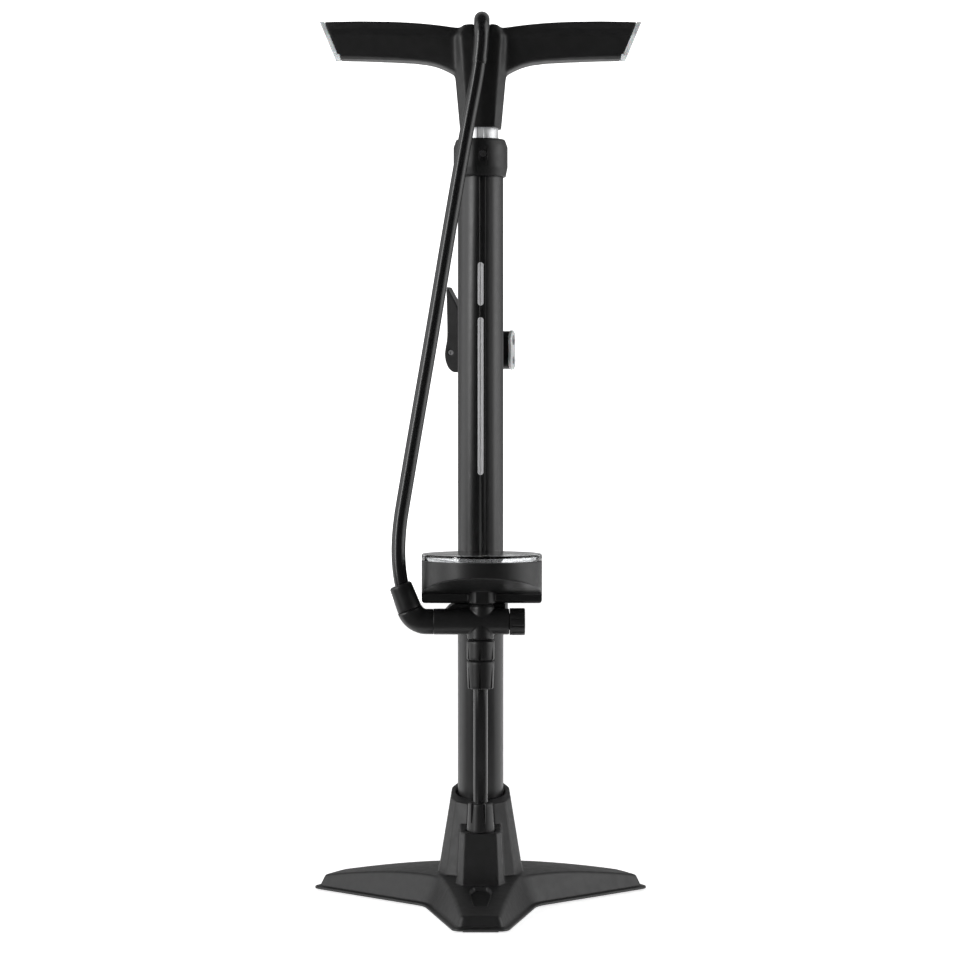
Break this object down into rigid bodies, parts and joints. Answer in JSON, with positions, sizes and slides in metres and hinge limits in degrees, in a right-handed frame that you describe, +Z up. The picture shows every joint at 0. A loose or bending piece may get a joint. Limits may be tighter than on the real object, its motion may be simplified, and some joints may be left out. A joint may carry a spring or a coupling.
{
  "type": "foot air pump",
  "caption": "Floor-standing air pump: three-legged base, slim barrel, tee handle, round gauge in front and a hose looped over the handle.",
  "frame": {"origin": "on the floor under the barrel's axis, on the sole of the base's middle pad", "axes": "+Z up along the barrel, -Y to the front, where the gauge is, +X to the right along the handle"},
  "size_m": [0.26, 0.2241, 0.6813],
  "materials": {
    "base_plastic": "fine textured matt",
    "grip_plastic": "fine textured matt",
    "moulded_plastic": "satin",
    "cap_plastic": "satin",
    "barrel_paint": "matt black anodised",
    "silver_metal": "satin",
    "light_plastic": "light grey",
    "hose_rubber": "smooth",
    "seal_rubber": "smooth",
    "pad_rubber": "matt",
    "clear_lens": "clear",
    "dial_face": "matt",
    "needle_paint": "gloss",
    "brass": "machined",
    "steel": "machined",
    "bearing_plastic": "smooth"
  },
  "bodies": {
    "stand": {"base_foot": "base_plastic", "foot_pads": "pad_rubber", "base_screws": "steel", "bottom_plug": "moulded_plastic", "plug_ring": "seal_rubber", "valve_spring": "steel", "base_barb": "brass", "base_nut": "moulded_plastic", "riser_hose": "hose_rubber", "riser_nut": "moulded_plastic", "union_nut": "moulded_plastic", "union_barb": "brass", "barrel_tube": "barrel_paint", "guide_bush": "bearing_plastic", "rod_wiper": "seal_rubber", "top_cap": "cap_plastic", "cap_screws": "steel", "manifold_body": "moulded_plastic", "clamp_back": "moulded_plastic", "clamp_screws": "steel", "elbow": "moulded_plastic", "hose_collar": "moulded_plastic", "gauge_housing": "moulded_plastic", "gauge_lens": "clear_lens", "gauge_dial": "dial_face", "gauge_socket": "brass", "bourdon_tube": "brass", "gauge_movement": "brass", "chuck_body": "moulded_plastic", "chuck_port_face": "light_plastic", "wide_valve_seal": "seal_rubber", "narrow_valve_seal": "seal_rubber", "lever_pin": "steel", "chuck_ferrule": "moulded_plastic", "chuck_clip": "moulded_plastic", "hose": "hose_rubber", "hose_sleeve": "hose_rubber"},
    "plunger": {"piston_tube": "silver_metal", "piston_head": "moulded_plastic", "cup_seal": "seal_rubber", "piston_pin": "steel", "top_bumper": "seal_rubber", "handle_grip": "grip_plastic", "handle_pin": "steel", "end_cap_left": "light_plastic", "end_cap_right": "light_plastic"},
    "lever": {"chuck_lever": "moulded_plastic"},
    "knob": {"selector_knob": "moulded_plastic", "selector_spindle": "brass", "spindle_ring": "seal_rubber"},
    "sector": {"sector_gear": "brass"},
    "needle": {"needle_pinion": "brass", "gauge_needle": "needle_paint"},
    "poppet": {"valve_poppet": "brass"}
  },
  "joints": [
    {"name": "handle_stroke", "type": "slide", "parent": "stand", "child": "plunger", "axis": [0, 0, 1], "range_m": [0, 0.476], "deforming": ["hose", "hose_sleeve"]},
    {"name": "chuck_lever_flip", "type": "hinge", "parent": "stand", "child": "lever", "pos_m": [-0.02153, 0.03847, 0.4212], "axis": [-0.2419, -0.9703, 0], "range_deg": [0, 90]},
    {"name": "selector_turn", "type": "hinge", "parent": "stand", "child": "knob", "pos_m": [0.02, -0.064, 0.2187], "axis": [1, 0, 0], "range_deg": [0, 90]},
    {"name": "sector_swing", "type": "hinge", "parent": "stand", "child": "sector", "pos_m": [0.0009, -0.051, 0.255], "axis": [0, 0, 1], "range_deg": [0, 45]},
    {"name": "needle_turn", "type": "hinge", "parent": "stand", "child": "needle", "pos_m": [0.0009, -0.064, 0.264], "axis": [0, 0, 1], "range_deg": [-270, 0]},
    {"name": "check_valve_lift", "type": "slide", "parent": "stand", "child": "poppet", "axis": [0, 0, -1], "range_m": [0, 0.0015], "stiffness_N_per_m": 60, "springref_m": -0.003, "deforming": ["valve_spring"]}
  ],
  "couplings": [
    {"joint": "needle_turn", "follows": "sector_swing", "ratio": -6}
  ]
}
